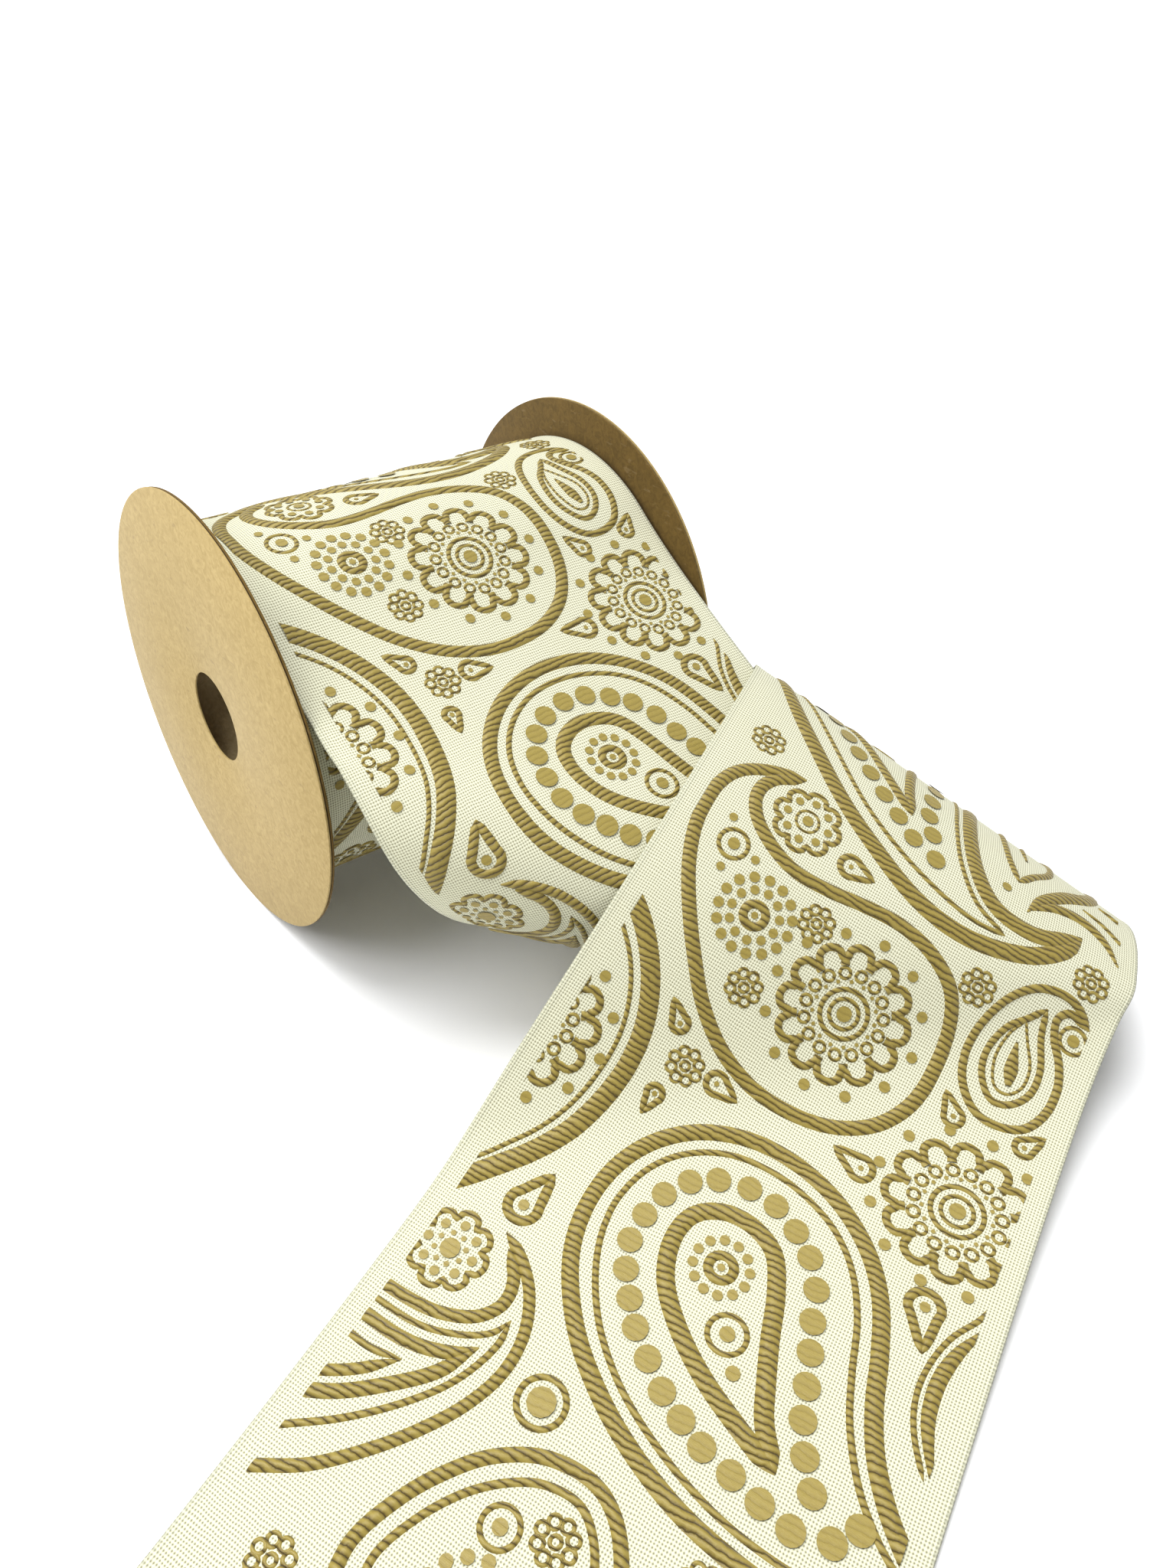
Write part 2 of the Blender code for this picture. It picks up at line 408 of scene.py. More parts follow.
def makeFlanges():
    ply, glue = flange["ply"], flange["glueLine"]
    plies = (
        ("Face", "face", 0, flangeRadius, flange["hole"]),
        ("Backing", "backing", ply + glue, flangeRadius - flange["backingInset"], flange["seat"]),
    )
    for side in ("near", "far"):
        for title, part, start, outer, inner in plies:
            if side == "far":
                start = spoolLength - ply - start
            end = start + ply
            outline = ((start, inner), (start, outer), (end, outer), (end, inner))
            disc = toMesh(turned(outline, flange["steps"], flange["edgeRound"]), f"{side}Flange{title}")
            piece = addPiece(f"{side}Flange{title}", disc, finishes[part], "spool")
            disc.set_sharp_from_angle(angle=flange["sharpFrom"])
            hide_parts(f"{side}_flange_{part}")


makeFlanges()
for nodeName, finishName in (("core_tube", "board"), ("start_tape", "tape")):
    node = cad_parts[nodeName]
    node.data.materials.clear()
    node.data.materials.append(finishes[finishName])
print("flanges made")


# the turns under the outermost one, with a groove between turns on both sides; lengths are in metres
wound = {
    "inner": 0.0198,
    "turn": 0.00062,
    "groove": 0.00025,
    "steps": 96,
    "sharpFrom": math.radians(40),
}


def makeWound():
    low, high = (Vector(corner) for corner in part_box("wound_ribbon"))
    outer = (high.y - low.y) / 2
    inner = wound["inner"]
    left, right = low.x - axisStart.x, high.x - axisStart.x
    turns = int((outer - inner) / wound["turn"])
    pitch = (outer - inner) / turns
    leftSide, rightSide = [(left, inner)], [(right, inner)]
    for i in range(turns):
        ridge, groove = inner + pitch * (i + 0.5), inner + pitch * (i + 1)
        leftSide += [(left, ridge), (left + wound["groove"], groove)]
        rightSide += [(right, ridge), (right - wound["groove"], groove)]
    outline = leftSide + [(left, outer), (right, outer)] + rightSide[::-1]
    mesh = toMesh(turned(outline, wound["steps"]), "woundTurns")
    piece = addPiece("woundTurns", mesh, finishes["cloth"], "spool")
    mesh.set_sharp_from_angle(angle=wound["sharpFrom"])
    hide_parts("wound_ribbon")


makeWound()
print("wound turns made")


# the ribbon's ground, one strip from the underlap to the cut end; lengths are in millimetres
selvedge = {
    # even columns across the ribbon are drawn together at its two edges
    "evenColumns": (0, 1 / 24, 2 / 24, 4 / 24, 0.5, 20 / 24, 22 / 24, 23 / 24, 1),
    "columns": (0, 0.012, 0.03, 0.08, 0.5, 0.92, 0.97, 0.988, 1),
    "rise": 0.10,
    "from": 0.3,
    "spread": 0.5,
}


def makeGround():
    length = (ribbon["endU"] - ribbon["startU"]) * 1000
    rows = int(length / 1000 / ribbon["cellAlong"])
    bm = bmesh.new()
    bmesh.ops.create_grid(bm, x_segments=ribbon["cellsAcross"], y_segments=rows, size=0.5)
    for vert in bm.verts:
        across = float(np.interp(vert.co.x + 0.5, selvedge["evenColumns"], selvedge["columns"]))
        along = ribbon["startU"] * 1000 + (vert.co.y + 0.5) * length
        fromEdge = min(across, 1 - across) * 100
        lift = selvedge["rise"] * math.exp(-((fromEdge - selvedge["from"]) / selvedge["spread"]) ** 2)
        vert.co = (across * 100, along, lift)
    mesh = toMesh(bm, "ribbonGround")
    layOnRibbon(mesh)
    piece = addPiece("ribbonGround", mesh, finishes["cloth"], "pulled_ribbon")
    wall = piece.modifiers.new("thickness", "SOLIDIFY")
    wall.thickness = ribbon["thickness"]
    wall.offset = -1
    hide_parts("loose_ribbon")
    return piece


ground = makeGround()
print("ribbon ground made")


# the raised gold figures are drawn flat, in millimetres, as (across from the left selvedge, along)
drawing = {
    "repeat": 276.65,
    "leftMargin": 4.4,
    "rightMargin": 95.6,
    "reach": (-90, 190),       # how far one repeat's figures reach along the ribbon
    "startMargin": 3,
    "loopFrom": 100.0,
    "tailFrom": 260.0,
    "endMargin": 1,
    "sunk": -0.06,             # the edge of each figure dips into the ground
    "ringWeight": 1.2,
    "teardropWeight": 1.65,
}


def smoothLine(points, spacing, closed):
    # a smooth curve through the points, as (v, u, any further columns)
    knots = np.array(points, dtype=float)
    count = len(knots)
    samples = []
    spans = count if closed else count - 1
    for i in range(spans):
        if closed:
            a, b, c, d = (knots[(i + k) % count] for k in (-1, 0, 1, 2))
        else:
            b, c = knots[i], knots[i + 1]
            a = knots[i - 1] if i else 2 * b - c
            d = knots[i + 2] if i + 2 < count else 2 * c - b
        pieces = max(2, round(float(np.hypot(*(c - b)[:2])) / spacing))
        for k in range(pieces):
            t = k / pieces
            square, cube = 2 * a - 5 * b + 4 * c - d, 3 * b - a - 3 * c + d
            samples.append(0.5 * (2 * b + (c - a) * t + square * t * t + cube * t ** 3))
    if not closed:
        samples.append(knots[-1])
    return np.array(samples)


def stroke(bm, points, width, closed=False, taper=(0, 0), spacing=None, across=4):
    # a domed band along a line; taper narrows it to a point over that many millimetres at each end
    line = smoothLine(points, spacing or max(0.5, width * 0.45), closed)
    if closed:
        line = np.vstack([line, line[:1]])
    rows = len(line) - 1
    steps = np.diff(line[:, :2], axis=0)
    lengths = np.concatenate([[0], np.cumsum(np.hypot(steps[:, 0], steps[:, 1]))])
    ahead = np.gradient(line[:, :2], axis=0)
    if closed:
        ahead[0] = ahead[-1] = line[1, :2] - line[-2, :2]
    ahead /= np.maximum(np.hypot(ahead[:, 0], ahead[:, 1]), 1e-6)[:, None]
    widths = line[:, 2] if line.shape[1] > 2 else np.full(len(line), float(width))
    if taper[0]:
        widths = widths * np.clip(lengths / taper[0], 0.06, 1) ** 0.7
    if taper[1]:
        widths = widths * np.clip((lengths[-1] - lengths) / taper[1], 0.06, 1) ** 0.7
    rise = min(0.62, 0.14 + 0.19 * width)
    made = bmesh.ops.create_grid(bm, x_segments=across, y_segments=rows, size=0.5)["verts"]
    for vert in made:
        i = round((vert.co.y + 0.5) * rows)
        t = vert.co.x * 2
        t = math.copysign(abs(t) ** 0.7, t)
        shrink = widths[i] / width
        dome = (1 - abs(t) ** 2.6) * rise * min(1, 0.3 + 0.7 * shrink)
        side = t * widths[i] / 2
        vert.co = (line[i, 0] + ahead[i, 1] * side, line[i, 1] - ahead[i, 0] * side, drawing["sunk"] + dome)
    if closed:
        bmesh.ops.remove_doubles(bm, verts=made, dist=0.0005)


def ring(bm, v, u, radius, width, sides=12, **more):
    turns = [2 * math.pi * k / sides for k in range(sides)]
    points = [(v + radius * math.cos(a), u + radius * math.sin(a)) for a in turns]
    spacing = 2 * math.pi * radius / sides / 2.2 if radius > 1.6 else 99
    stroke(bm, points, width, closed=True, spacing=spacing, **more)


def dot(bm, v, u, radius, sides=12):
    made = bmesh.ops.create_circle(bm, segments=sides, radius=radius, cap_ends=True)["verts"]
    bmesh.ops.translate(bm, vec=(v, u, drawing["sunk"]), verts=made)
    face = made[0].link_faces[0]
    face.material_index = 1
    rise = 0.16 + 0.10 * radius
    for share, lift in ((0.2, 0.62), (0.35, 0.38)):
        bmesh.ops.inset_region(bm, faces=[face], thickness=radius * share, depth=0, use_even_offset=True)
        bmesh.ops.translate(bm, vec=(0, 0, rise * lift), verts=face.verts)


def scallops(bm, v, u, inner, outer, lobes, width, phase=0.0):
    points = []
    for k in range(lobes * 6):
        a = 2 * math.pi * k / (lobes * 6)
        r = inner + (outer - inner) * abs(math.sin(lobes * a / 2)) ** 0.55
        points.append((v + r * math.cos(a + phase), u + r * math.sin(a + phase)))
    stroke(bm, points, width, closed=True, spacing=99)


def around(count, radius, v, u, phase=0.0):
    for k in range(count):
        a = phase + 2 * math.pi * k / count
        yield v + radius * math.cos(a), u + radius * math.sin(a)


def sunflower(bm, v, u, phase=0.0):
    scallops(bm, v, u, 10.5, 13.5, 12, 1.75, phase)
    for place in around(12, 15.9, v, u, phase):
        dot(bm, *place, 1.15)
    for k in range(12):  # thick stitches where two petals meet
        a = phase + 2 * math.pi * k / 12
        tip = [(v + r * math.cos(a), u + r * math.sin(a)) for r in (9.6, 10.8, 12.3)]
        stroke(bm, tip, 2.0, taper=(0, 1.8))
    for place in around(15, 8.1, v, u, phase):
        ring(bm, *place, 1.1, 0.8, sides=9, across=3)
    for place in around(15, 6.5, v, u, phase + 0.2):
        dot(bm, *place, 0.45, sides=6)
    ring(bm, v, u, 4.9, 1.15, sides=16)
    ring(bm, v, u, 3.0, 1.0, sides=12)
    dot(bm, v, u, 1.6)


def dottedFlower(bm, v, u, outerDots=True):
    ring(bm, v, u, 2.3, 2.0)
    dot(bm, v, u, 0.75, sides=8)
    for place in around(11 if outerDots else 12, 5.1, v, u, 0.2):
        dot(bm, *place, 1.0, sides=9)
    if outerDots:
        for place in around(15, 7.7, v, u):
            dot(bm, *place, 1.15, sides=9)


def scallopedFlower(bm, v, u, double=False):
    scallops(bm, v, u, 5.6, 7.3, 8, 1.35, 0.39)
    for place in around(8, 4.75, v, u):
        dot(bm, *place, 0.95, sides=9)
    if double:
        for place in around(8, 2.9, v, u, 0.39):
            dot(bm, *place, 0.55, sides=7)
        dot(bm, v, u, 1.9)
    else:
        ring(bm, v, u, 2.5, 0.75, sides=10)
        dot(bm, v, u, 1.25, sides=9)


def rosette(bm, v, u):
    for place in around(8, 2.75, v, u, 0.2):
        ring(bm, *place, 1.0, 0.8, sides=8, across=3)
    ring(bm, v, u, 0.9, 0.8, sides=8, across=3)


def ringedDot(bm, v, u, radius, width, dotRadius):
    ring(bm, v, u, radius, width * drawing["ringWeight"], sides=14)
    dot(bm, v, u, dotRadius)


def teardrop(bm, body, radius, tip, width, dotRadius=0.55):
    reach = Vector((tip[0] - body[0], tip[1] - body[1]))
    heading = math.atan2(reach.y, reach.x)
    points = [tip]
    for k in range(9):
        a = heading + math.radians(50 + 260 * k / 8)
        points.append((body[0] + radius * math.cos(a), body[1] + radius * math.sin(a)))
    points.append(tip)
    width *= drawing["teardropWeight"]
    stroke(bm, points, width, taper=(width, width), spacing=max(0.6, width * 0.7))
    if dotRadius:
        dot(bm, *body, dotRadius, sides=8)


figures = {
    "sunflowerPaisley": (
        (21.5, -12), (14.5, -9.6), (9, -5.8), (6.3, -1), (5.6, 5), (6.4, 12), (9.3, 19.5), (14, 27),
        (19.5, 34), (26, 41), (34, 46.6), (43, 49.6), (52, 49.7), (60, 47.6), (66.5, 43), (70.6, 36),
        (71.8, 28), (70.8, 19), (67, 12), (60, 7.8), (52, 6.2), (44, 6.8), (36, 8.1), (28, 8.4), (21, 6),
        (15.8, 2), (13.8, -3), (15.8, -8), (21.5, -12),
    ),
    "smallOuter": (
        (95.5, 3.6), (91.5, 0.8), (87, 0.2), (82, 2), (78.2, 6.5), (76, 13), (75.6, 20), (77.4, 26),
        (81.4, 30.2), (86, 31), (91, 29), (93.8, 24), (94.3, 18), (92.8, 13), (90, 8.8), (88.8, 5),
        (90.8, 2.6), (95.5, 3.6),
    ),
    "smallMiddle": (
        (86, 4.4), (83.6, 8), (80.6, 12), (79.2, 18), (80.3, 23), (83.6, 26.6), (87.3, 25.6), (90, 21.5),
        (90, 16), (87.6, 10), (86, 4.4),
    ),
    "smallInner": (
        (83.4, 8.6), (81.6, 13), (81.2, 18.5), (83, 23.4), (86, 24), (88.2, 21), (88, 16.6), (85.4, 12),
        (83.4, 8.6),
    ),
    "bigArc": (
        (0, 29), (5, 32), (10.5, 37), (15.3, 43.5), (18.6, 51), (19.8, 59), (19, 67), (16.8, 74.5),
        (13, 81.5), (8.5, 87.5), (4.4, 92.5), (0, 97),
    ),
    "thinArc": (
        (0, 33.5), (4.5, 36.7), (9.3, 41.5), (13, 47.5), (15.3, 54.5), (15.7, 62), (14.5, 70), (11.8, 77),
        (8, 83), (4.4, 88), (0, 92),
    ),
    "dottedOuter": (
        (100, 113), (95, 108.5), (91, 104), (87.2, 98), (84.5, 91), (82.5, 83), (79.6, 74.5), (75.3, 67.8),
        (69, 62.4), (61.5, 59), (53, 57.8), (45, 59), (37.3, 62.7), (31.2, 68.7), (27.6, 76), (26.6, 84),
        (28, 92), (31.6, 99.2), (37.5, 106.4), (45, 112.4), (53, 117), (62, 120.6), (70, 122.5), (80, 123.6),
        (90, 123), (100, 121),
    ),
    "dottedThin": (
        (100, 115.5), (95, 112), (91, 108.8), (86.5, 103.7), (82.2, 96), (79.5, 88), (77, 79), (73, 71.3),
        (67.5, 66), (60.5, 62.9), (53, 61.8), (45, 63), (38, 67), (33.2, 73), (31, 80.5), (31.6, 88),
        (34.6, 95.6), (39.8, 103), (47, 109.3), (55, 113.8), (64, 117.3), (73, 119.4), (83, 120), (92, 119),
        (100, 116.5),
    ),
    "dottedDots": (
        (51, 67), (56.6, 67.5), (61.7, 70), (65.8, 73.2), (69, 78), (70.6, 83.5), (72.3, 88.6), (73.9, 94),
        (75.4, 99.2), (77.8, 104.2), (80.8, 108.6), (86, 113.4), (80, 115), (74.5, 114), (69, 112.6),
        (63.3, 111.3), (58.6, 109.3), (53.9, 107), (49.4, 103.6), (45.1, 100.1), (41.8, 96.2), (38.7, 92),
        (36.7, 87), (36.7, 81.5), (37.9, 76.2), (40.9, 71.6), (45.3, 68.5), (91.5, 116.6), (89, 109.6),
    ),
    "dottedDrop": (
        (74.8, 108.9), (67, 105.6), (58.5, 101.4), (51, 96), (45.6, 90), (43.2, 83), (44.2, 77),
        (48.4, 73.6), (54, 73), (59.8, 75.6), (63.2, 82), (65.6, 90), (68, 97), (70.4, 103), (74.8, 108.9),
    ),
}


def leafFigures(bm):
    # a feathered leaf of nested stripes, cut off by the left selvedge
    stroke(bm, (
        (17, 97.3), (22, 100), (26.6, 104.6), (29.6, 111), (30, 118), (27.8, 125), (24, 131.5), (19, 138),
        (12, 145), (4, 150),
    ), 2.3, taper=(3, 0))
    stroke(bm, (
        (19, 99.6), (22.6, 103.4), (23.7, 108), (21, 112.4), (15, 115.2), (8, 116), (0, 115.8),
    ), 2.5, taper=(3, 0))
    stroke(bm, ((26.4, 110), (24.6, 113.6), (19.5, 116.8), (12, 118.8), (0, 118.6)), 1.3, taper=(3, 0))
    stroke(bm, ((26.4, 110), (26.6, 115.5), (24, 123), (19, 130), (12, 137), (4, 143)), 1.4, taper=(3, 0))
    stroke(bm, ((24.3, 116.6), (20, 120), (12, 122), (0, 121.6)), 2.6, taper=(5, 0))
    stroke(bm, ((24.3, 116.6), (20.5, 123.5), (14.5, 129.5), (8, 134.6), (0, 138.5)), 2.7, taper=(6, 0))
    stroke(bm, ((14.4, 124.8), (8, 126), (0, 125.2)), 1.4, taper=(3, 0))
    stroke(bm, ((14.4, 124.8), (9, 129.8), (4, 133), (0, 134.6)), 2.2, taper=(5, 0))


def edgeLeaf(bm):
    stroke(bm, (
        (96.5, 65), (95, 68.5), (91.8, 74), (90, 80.5), (89.9, 86.5), (91.5, 92), (95, 98),
    ), 1.15, taper=(0, 2))
    stroke(bm, (
        (96, 70.5, 1.0), (93.6, 76, 2.3), (92.3, 82, 2.8), (92.6, 88, 2.6), (94, 92.5, 2.0), (96, 97, 1.0),
    ), 2.4)


def crestPaisley(bm):
    # the large paisley before it, whose hooked tip turns up at the right
    stroke(bm, (
        (86.8, -14.2), (84, -8.6), (78.5, -3.6), (70, -0.2), (61, 0.9), (51, -1), (40.5, -6), (30.5, -12.4),
        (20.5, -21.6), (12.3, -31), (8, -40), (6.4, -51), (9, -63), (16, -73), (27, -79), (39, -79),
        (49.5, -73), (56, -63.5), (59.3, -52), (59.2, -42), (57.8, -33), (58.4, -24), (61.5, -15.5),
        (67, -9.4), (74.5, -7.8), (81, -9.6), (86.8, -14.2),
    ), 4.0, taper=(5, 5))
    stroke(bm, (
        (71.6, -4), (64, -3.4), (55, -5.2), (45, -9), (35, -15), (25.5, -24), (17.2, -34), (12.4, -44),
        (11.6, -55), (15.5, -65.5), (23.5, -73), (33, -75.6), (42, -72.4), (49.5, -65.4), (53.6, -55.5),
        (54.8, -44), (54.3, -33), (55, -24), (58, -14.8), (63.6, -7.6), (71.6, -4),
    ), 1.2, taper=(2, 2))
    for place in (
        (52.6, -11.6), (46.6, -13.6), (42, -17), (37.4, -20.6), (33, -24.6), (29, -28.6), (25.6, -33),
        (21.8, -38), (18.7, -43.6), (17.2, -50), (17.6, -56.4), (20.4, -62.2), (25, -67), (31, -69.6),
        (37.2, -68.6), (42.6, -64.8), (46.6, -59.4), (49, -53), (50, -46.4), (49.6, -40), (48.6, -34),
        (48, -28), (48.2, -22.4), (50.2, -17.4),
    ):
        dot(bm, *place, 2.2)
    stroke(bm, (
        (44.7, -19.6), (35.5, -28.6), (29.4, -36.6), (24.8, -45), (23.8, -54), (27.4, -61), (33.6, -63.4),
        (39.6, -60), (43, -52.6), (43.4, -43), (42.2, -34), (42.6, -26.5), (44.7, -19.6),
    ), 2.8, taper=(3, 3))
    dottedFlower(bm, 32.6, -54, outerDots=False)
    ringedDot(bm, 35.6, -43.4, 3.3, 0.9, 1.3)


def crestLeaves(bm):
    # leaf and spray at the right of that paisley
    stroke(bm, (
        (71, -19.4), (67.9, -26), (66.8, -34), (68, -42), (72, -48.4), (76.6, -46), (79.2, -38.4),
        (78.3, -30), (74, -24), (71, -19.4),
    ), 1.9, taper=(2, 2))
    stroke(bm, ((72.4, -29, 0.8), (72, -35, 1.6), (73.6, -41, 0.8)), 1.6)
    dot(bm, 68.6, -15.8, 1.1)
    stroke(bm, (
        (74.2, -12.4, 0.4), (76.5, -17.6, 2.6), (82, -24, 3.6), (88, -30, 3.8), (91, -37, 3.2),
        (90, -46, 2.2), (87, -54, 0.6),
    ), 3.4)
    stroke(bm, (
        (74.6, -13.6, 0.8), (80, -18.2, 2.8), (86.4, -19.6, 3.0), (92, -17.2, 2.4), (95.6, -12.2, 0.6),
    ), 2.8)
    stroke(bm, ((86.5, -24, 0.7), (91.5, -22.6, 1.4), (97, -19, 1.4)), 1.4)
    stroke(bm, ((91, -30, 0.7), (94.5, -29, 1.8), (99, -27, 1.8)), 1.8)
    rosette(bm, 91.3, -5)
    rosette(bm, 10.5, -16.6)


def lastPaisley(bm):
    # below the leaf: a paisley that starts the next row
    stroke(bm, (
        (26, 158), (24.4, 150), (27, 141.6), (31, 134.8), (36, 129.2), (43, 125.2), (51, 124.4), (57, 127.4),
        (61.5, 134), (63.4, 142), (62, 151), (57, 159.5), (49, 165), (39.5, 166.6), (31, 164), (26, 158),
    ), 2.5)
    stroke(bm, (
        (30, 156), (28.6, 149.6), (31, 142.4), (35, 136), (39.8, 131.4), (45, 128.6), (51, 128.2),
        (55.4, 131.4), (58.4, 137), (59.2, 143.4), (57.6, 150.4), (53, 156.8), (46.6, 161), (39, 162),
        (33.4, 160), (30, 156),
    ), 1.5)
    rosette(bm, 50.6, 134.4)
    ringedDot(bm, 42.4, 137, 3.1, 0.9, 1.3)
    dottedFlower(bm, 44.4, 149.4)


def cutOff(bm, place, facing):
    # what lies past the plane, on the side it faces, is cut away
    everything = bm.verts[:] + bm.edges[:] + bm.faces[:]
    bmesh.ops.bisect_plane(bm, geom=everything, dist=0.0001, plane_co=place, plane_no=facing, clear_outer=True)


def drawFigures():
    bm = bmesh.new()
    stroke(bm, figures["sunflowerPaisley"], 3.1, taper=(3, 3), across=5)
    sunflower(bm, 51, 27.6)
    dottedFlower(bm, 25.5, 20.8)
    scallopedFlower(bm, 25.6, -2.9)
    ringedDot(bm, 14.7, 10.4, 3.1, 0.9, 1.3)
    for place in ((12, 5.4), (14.7, 16), (20.1, 11)):
        dot(bm, *place, 0.95, sides=9)
    for place in ((37, 15.4), (31.2, 34), (71.4, 8.5), (29.4, 53)):
        rosette(bm, *place)
    teardrop(bm, (37.6, 1), 2.3, (43.3, 1.2), 0.95)
    teardrop(bm, (24.2, 46.6), 1.7, (20.4, 42.9), 0.9)
    teardrop(bm, (36.4, 52.6), 2.1, (41.6, 53.6), 0.9)
    teardrop(bm, (27, 60.6), 1.6, (26.6, 65.2), 0.9)
    teardrop(bm, (67.2, 52.4), 2.3, (61, 51), 0.95)
    teardrop(bm, (78.6, 33.6), 1.9, (75.4, 29.4), 0.85)
    teardrop(bm, (92.5, 32.4), 1.8, (95.6, 28.4), 0.85)
    teardrop(bm, (86.3, 71), 2.9, (88.4, 79), 1.15, 1.0)
    teardrop(bm, (16.8, 91.4), 3.0, (18.6, 83.4), 1.3, 1.1)
    stroke(bm, figures["smallOuter"], 1.9, taper=(2, 2))
    stroke(bm, figures["smallMiddle"], 1.6, taper=(2, 2))
    stroke(bm, figures["smallInner"], 0.75, taper=(1, 1))
    stroke(bm, ((83.8, 13.4, 0.6), (84.4, 16.5, 2.2), (85, 19.4, 3.0), (85.6, 22.4, 1.2)), 2.6)
    ringedDot(bm, 93.4, 7.2, 2.7, 0.85, 1.3)
    sunflower(bm, 85.6, 51, 0.1)
    stroke(bm, figures["bigArc"], 4.1, across=6)
    stroke(bm, figures["thinArc"], 1.05)
    sunflower(bm, -1.4, 60.4, 0.02)
    stroke(bm, figures["dottedOuter"], 3.3, across=5)
    stroke(bm, figures["dottedThin"], 1.35)
    for place in figures["dottedDots"]:
        dot(bm, *place, 2.35, sides=16)
    stroke(bm, figures["dottedDrop"], 3.5, taper=(3, 3), across=5)
    dottedFlower(bm, 53, 83, outerDots=False)
    ringedDot(bm, 59, 93, 3.4, 0.95, 1.4)
    dot(bm, 62.6, 98.4, 1.3)
    scallopedFlower(bm, 10, 105, double=True)
    ringedDot(bm, 38, 118.6, 4.1, 1.05, 2.5)
    edgeLeaf(bm)
    leafFigures(bm)
    crestPaisley(bm)
    crestLeaves(bm)
    lastPaisley(bm)
    # the rest of the repeat
    sunflower(bm, 82, 146)
    rosette(bm, 72, 129)
    rosette(bm, 16, 158)
    scallopedFlower(bm, 12, 172)
    teardrop(bm, (69.5, 166), 2.6, (64, 172), 1.1)
    dottedFlower(bm, 84, 172)
    teardrop(bm, (31, 174), 2.4, (25, 171), 1.0)
    rosette(bm, 58, 174)
    ringedDot(bm, 44, 177, 3.4, 0.95, 1.5)
    cutOff(bm, (drawing["leftMargin"], 0, 0), (-1, 0, 0))
    cutOff(bm, (drawing["rightMargin"], 0, 0), (1, 0, 0))
    return toMesh(bm, "repeat")


def makeFigures():
    oneRepeat = drawFigures()
    print("one repeat:", len(oneRepeat.polygons), "faces")
    pieces = []
    first, loop, tail = ribbon["startU"] * 1000 + drawing["startMargin"], drawing["loopFrom"], drawing["tailFrom"]
    last = ribbon["endU"] * 1000 - drawing["endMargin"]
    for name, start, end in (("goldOnRoll", first, loop), ("goldOnLoop", loop, tail), ("goldOnTail", tail, last)):
        bm = bmesh.new()
        for k in range(-2, 3):
            shift = k * drawing["repeat"]
            if start - drawing["reach"][1] < shift < end - drawing["reach"][0]:
                shifted = oneRepeat.copy()
                shifted.transform(Matrix.Translation((0, shift, 0)))
                bm.from_mesh(shifted)
                bpy.data.meshes.remove(shifted)
        cutOff(bm, (0, start, 0), (0, -1, 0))
        cutOff(bm, (0, end, 0), (0, 1, 0))
        bm.normal_update()
        bmesh.ops.reverse_faces(bm, faces=[f for f in bm.faces if f.normal.z < 0])
        mesh = toMesh(bm, name)
        layOnRibbon(mesh)
        piece = addPiece(name, mesh, finishes["gold"], "pulled_ribbon")
        mesh.materials.append(finishes["knots"])
        print(name, len(mesh.polygons), "faces")
        pieces.append(piece)
    bpy.data.meshes.remove(oneRepeat)
    return pieces


goldPieces = makeFigures()
print("gold figures made")


# floor, lights and camera; lengths are in metres
studio = {
    "floorSize": 30.0,
    "floor": (0.98, 0.985, 1.0),
    "worldStrength": 0.48,
    "sun": {"towards": (0.10, -0.26, -1.0), "strength": 3.2, "angle": math.radians(38)},
    "fill": {"place": (-0.18, 0.06, 0.23), "at": (-0.02, 0.09, 0.05), "size": 0.14, "power": 0.32},
}


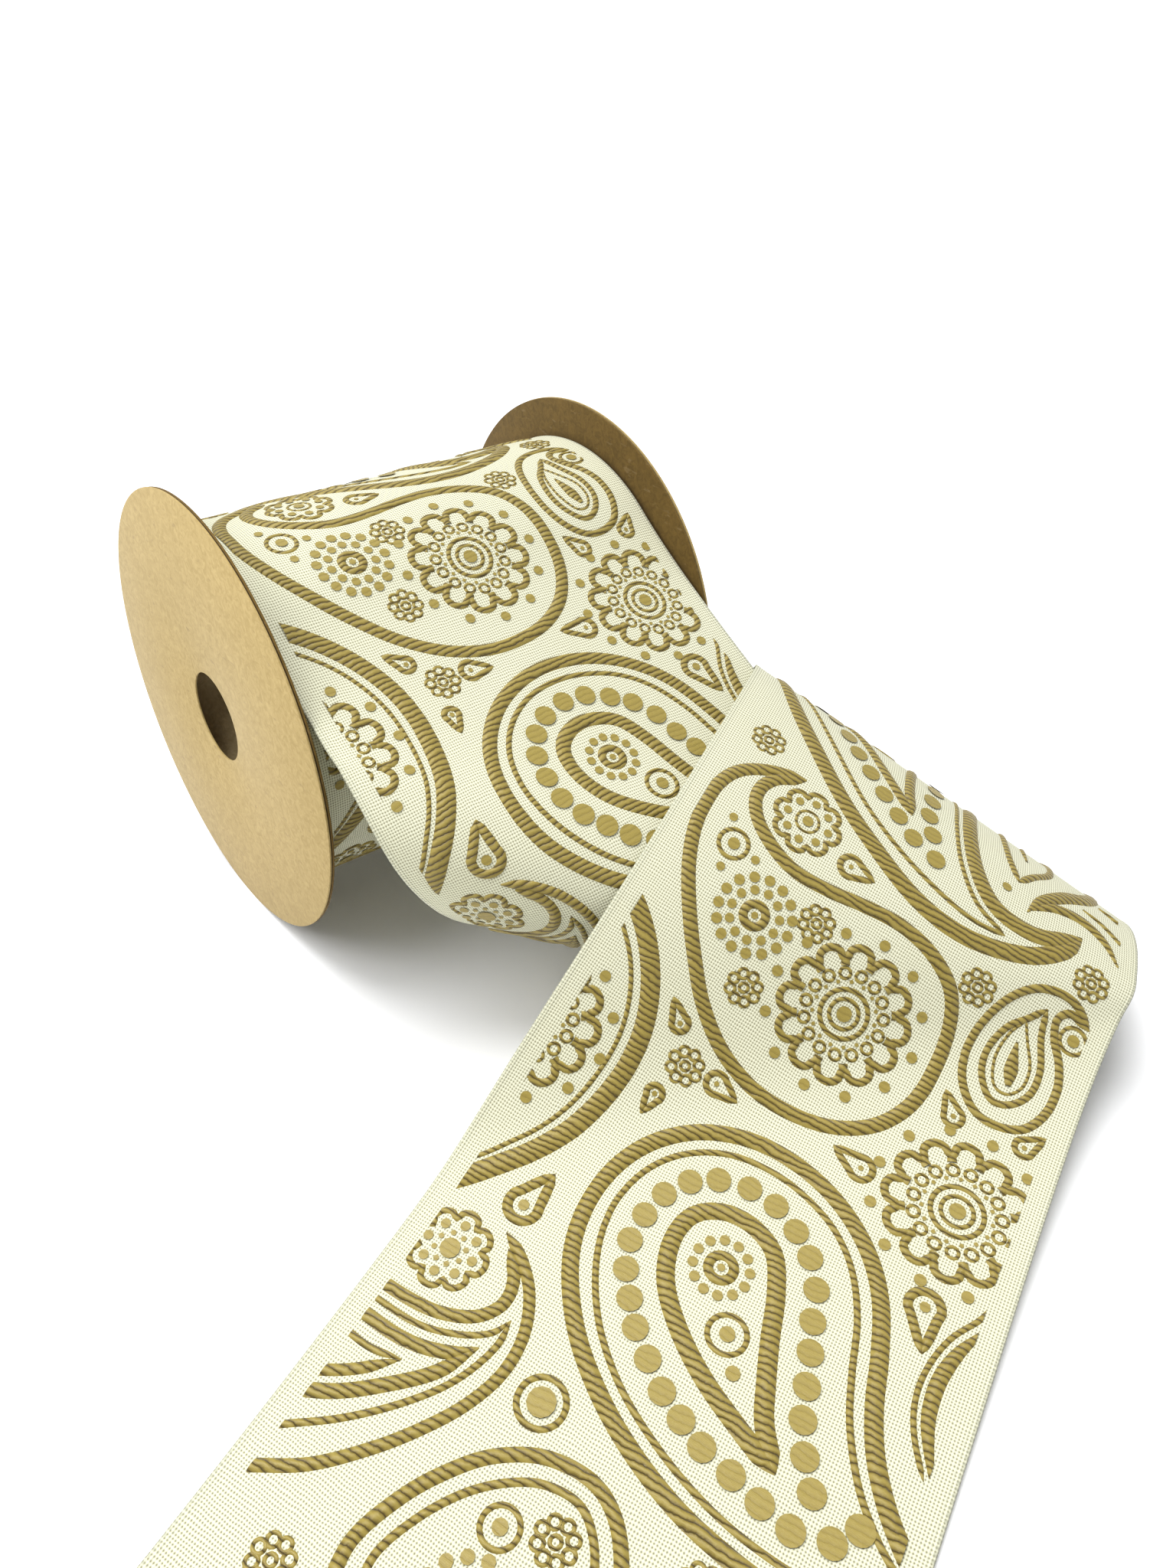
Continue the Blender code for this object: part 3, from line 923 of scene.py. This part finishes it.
def makeStudio():
    bm = bmesh.new()
    bmesh.ops.create_grid(bm, x_segments=2, y_segments=2, size=studio["floorSize"])
    mesh = toMesh(bm, "floor")
    floorFinish = Finish("paleFloor", roughness=0.75, specular=0.1)
    grain = floorFinish.clouds(floorFinish.place(), 30.0, 3.0)
    grainTone = tuple(c * 0.985 for c in studio["floor"])
    floorFinish.paint(Base_Color=floorFinish.mix(grain, studio["floor"], grainTone))
    mesh.materials.append(floorFinish.material)
    floor = bpy.data.objects.new("floor", mesh)
    bpy.context.collection.objects.link(floor)
    world = bpy.data.worlds.new("studio")
    world.use_nodes = True
    world.node_tree.nodes["Background"].inputs["Color"].default_value = (1, 1, 1, 1)
    world.node_tree.nodes["Background"].inputs["Strength"].default_value = studio["worldStrength"]
    bpy.context.scene.world = world
    bpy.context.scene.view_settings.view_transform = "Standard"
    sun = bpy.data.lights.new("sun", "SUN")
    sun.energy = studio["sun"]["strength"]
    sun.angle = studio["sun"]["angle"]
    holder = bpy.data.objects.new("sun", sun)
    holder.rotation_euler = Vector(studio["sun"]["towards"]).to_track_quat("-Z", "Y").to_euler()
    bpy.context.collection.objects.link(holder)
    fill = bpy.data.lights.new("fill", "AREA")
    fill.size = studio["fill"]["size"]
    fill.energy = studio["fill"]["power"]
    holder = bpy.data.objects.new("fill", fill)
    holder.location = studio["fill"]["place"]
    holder.rotation_euler = (Vector(studio["fill"]["at"]) - holder.location).to_track_quat("-Z", "Y").to_euler()
    bpy.context.collection.objects.link(holder)


view = {
    "place": (-1.49824, -4.40396, 2.76914),  # in flange radii, from the near end of the axis
    "yaw": 0.883515,
    "pitch": 0.616807,
    "roll": 0.0208334,
    "lens": 26.996,
}


def makeCamera():
    lens = bpy.data.cameras.new("camera")
    lens.lens = view["lens"]
    lens.sensor_width = 36
    lens.clip_start = 0.01
    yaw, pitch, roll = view["yaw"], view["pitch"], view["roll"]
    ahead = Vector((math.cos(yaw) * math.cos(pitch), math.sin(yaw) * math.cos(pitch), -math.sin(pitch)))
    right = Vector((math.sin(yaw), -math.cos(yaw), 0))
    up = right.cross(ahead)
    tiltedRight = math.cos(roll) * right + math.sin(roll) * up
    tiltedUp = -math.sin(roll) * right + math.cos(roll) * up
    camera = bpy.data.objects.new("camera", lens)
    turn = Matrix((tiltedRight, tiltedUp, -ahead)).transposed().to_4x4()
    camera.matrix_world = Matrix.Translation(axisStart + Vector(view["place"]) * flangeRadius) @ turn
    bpy.context.collection.objects.link(camera)
    bpy.context.scene.camera = camera


makeStudio()
makeCamera()
print("studio made")
